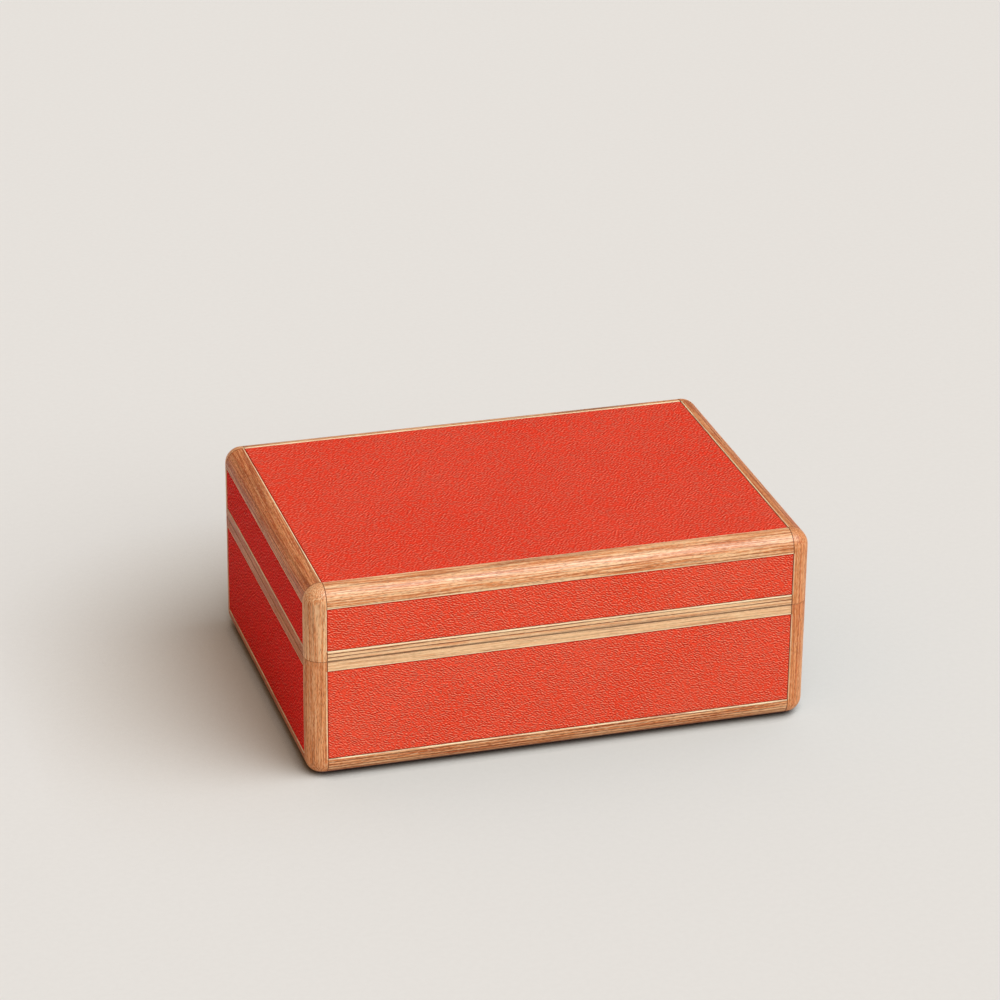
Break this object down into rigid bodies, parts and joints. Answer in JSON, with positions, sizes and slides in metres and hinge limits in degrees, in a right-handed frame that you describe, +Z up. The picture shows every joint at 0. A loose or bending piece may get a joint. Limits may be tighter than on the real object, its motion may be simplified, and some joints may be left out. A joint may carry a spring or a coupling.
{
  "type": "hinged keepsake box",
  "caption": "Low rectangular box with a hinged lid, rounded wood edge mouldings and flush grained-leather panels, lined with suede, for papers and keepsakes.",
  "frame": {"origin": "middle of the underside, on the surface that the box stands on", "axes": "+X along the front to the right, +Y from the front to the hinged back, +Z up"},
  "size_m": [0.24, 0.1751, 0.095],
  "materials": {
    "mahogany": "satin lacquer",
    "plywood": "raw",
    "red_leather": "pebbled grain",
    "lining_suede": "suede",
    "underside_suede": "suede",
    "brass": "satin",
    "pin_steel": "ground"
  },
  "bodies": {
    "base": {"base_front_left_post": "mahogany", "base_front_right_post": "mahogany", "base_back_left_post": "mahogany", "base_back_right_post": "mahogany", "base_front_rail": "mahogany", "base_back_rail": "mahogany", "base_left_rail": "mahogany", "base_right_rail": "mahogany", "base_front_rim": "mahogany", "base_back_rim": "mahogany", "base_left_rim": "mahogany", "base_right_rim": "mahogany", "base_front_board": "plywood", "base_back_board": "plywood", "base_left_board": "plywood", "base_right_board": "plywood", "base_front_leather": "red_leather", "base_back_leather": "red_leather", "base_left_leather": "red_leather", "base_right_leather": "red_leather", "base_front_lining": "lining_suede", "base_back_lining": "lining_suede", "base_left_lining": "lining_suede", "base_right_lining": "lining_suede", "base_hinge_leaves": "brass", "base_hinge_screws": "brass", "base_bottom_board": "plywood", "base_underside_cover": "underside_suede", "base_floor_lining": "lining_suede", "hinge_pins": "pin_steel"},
    "lid": {"lid_front_left_post": "mahogany", "lid_front_right_post": "mahogany", "lid_back_left_post": "mahogany", "lid_back_right_post": "mahogany", "lid_front_rail": "mahogany", "lid_back_rail": "mahogany", "lid_left_rail": "mahogany", "lid_right_rail": "mahogany", "lid_front_rim": "mahogany", "lid_back_rim": "mahogany", "lid_left_rim": "mahogany", "lid_right_rim": "mahogany", "lid_front_board": "plywood", "lid_back_board": "plywood", "lid_left_board": "plywood", "lid_right_board": "plywood", "lid_front_leather": "red_leather", "lid_back_leather": "red_leather", "lid_left_leather": "red_leather", "lid_right_leather": "red_leather", "lid_front_lining": "lining_suede", "lid_back_lining": "lining_suede", "lid_left_lining": "lining_suede", "lid_right_lining": "lining_suede", "lid_hinge_leaves": "brass", "lid_hinge_screws": "brass", "lid_top_board": "plywood", "lid_top_leather": "red_leather", "lid_ceiling_lining": "lining_suede"}
  },
  "joints": [
    {"name": "lid_hinge", "type": "hinge", "parent": "base", "child": "lid", "pos_m": [0, 0.0868, 0.0594], "axis": [-1, 0, 0], "range_deg": [0, 95]}
  ]
}
